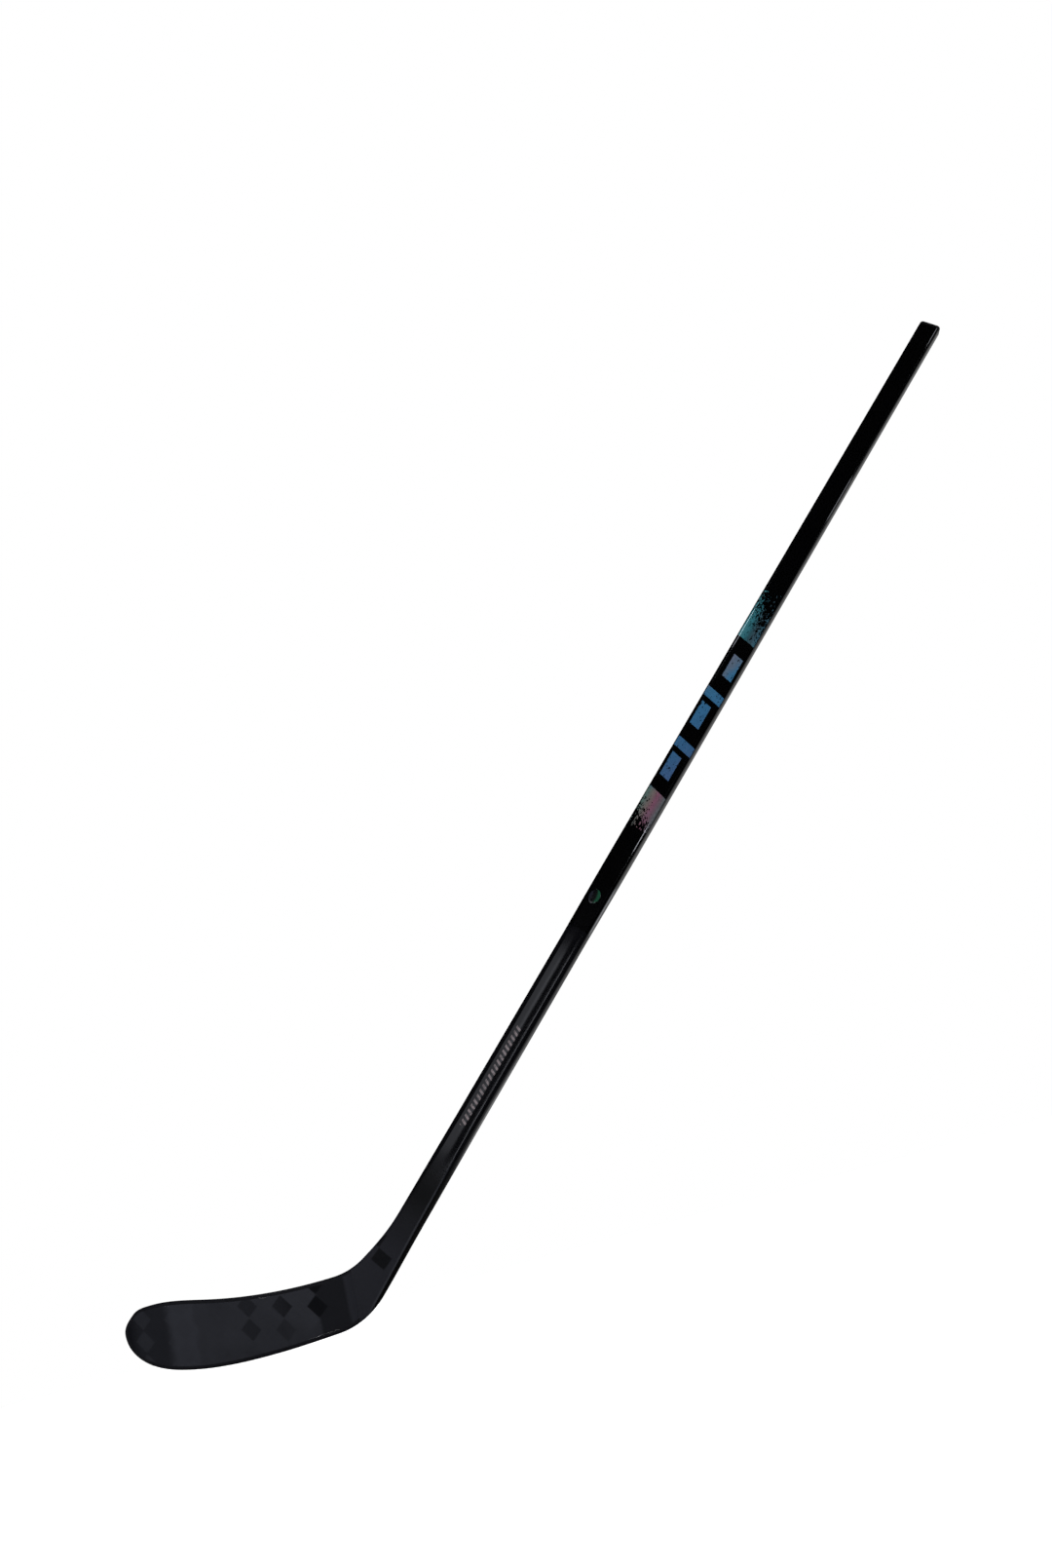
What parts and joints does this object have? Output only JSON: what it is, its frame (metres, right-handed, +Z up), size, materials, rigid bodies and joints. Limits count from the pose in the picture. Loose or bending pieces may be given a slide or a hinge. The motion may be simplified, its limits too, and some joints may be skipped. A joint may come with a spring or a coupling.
{
  "type": "ice hockey stick",
  "caption": "Left-handed one-piece carbon ice hockey stick: hollow rounded-rectangular shaft with an end plug, and a curved blade of carbon skins over foam.",
  "frame": {"origin": "middle of the upper hand's grip, on the shaft's axis, 75 mm below the butt end", "axes": "+Z up, with the sole of the blade level with the ice; the toe of the blade points to -X and the shaft rises towards +X at 45 degrees; +Y is the forehand side. The shaft's section is turned 5 degrees about the shaft's own axis, so its forehand face looks 5 degrees down and forward from +Y"},
  "size_m": [1.3529, 0.0726, 1.0981],
  "materials": {
    "end_plug": "moulded, satin black",
    "shaft_carbon": "satin carbon laminate",
    "gloss_coat": "high-gloss black lacquer",
    "foil": "iridescent blue and teal foil under lacquer",
    "badge": "iridescent oval label",
    "blade_carbon": "matte spread-tow carbon",
    "edge_carbon": "satin black carbon edge",
    "inner_carbon": "bare carbon laminate",
    "blade_foam": "closed-cell rigid foam",
    "shaft_foam": "closed-cell rigid foam"
  },
  "bodies": {
    "root": {"end_plug": "end_plug", "shaft_tube": "shaft_carbon", "gloss_coat_upper": "gloss_coat", "foil_decal": "foil", "gloss_coat_lower": "gloss_coat", "badge_label": "badge", "shaft_foam_plug": "shaft_foam", "tenon": "inner_carbon", "hosel_shell": "shaft_carbon", "heel_core": "blade_foam", "backhand_skin": "blade_carbon", "forehand_skin": "blade_carbon", "lower_core": "blade_foam", "upper_core": "blade_foam", "blade_rib": "inner_carbon", "toe_web": "inner_carbon", "toe_core": "blade_foam", "sole_edge": "edge_carbon", "toe_edge": "edge_carbon", "top_edge": "edge_carbon"}
  },
  "joints": []
}
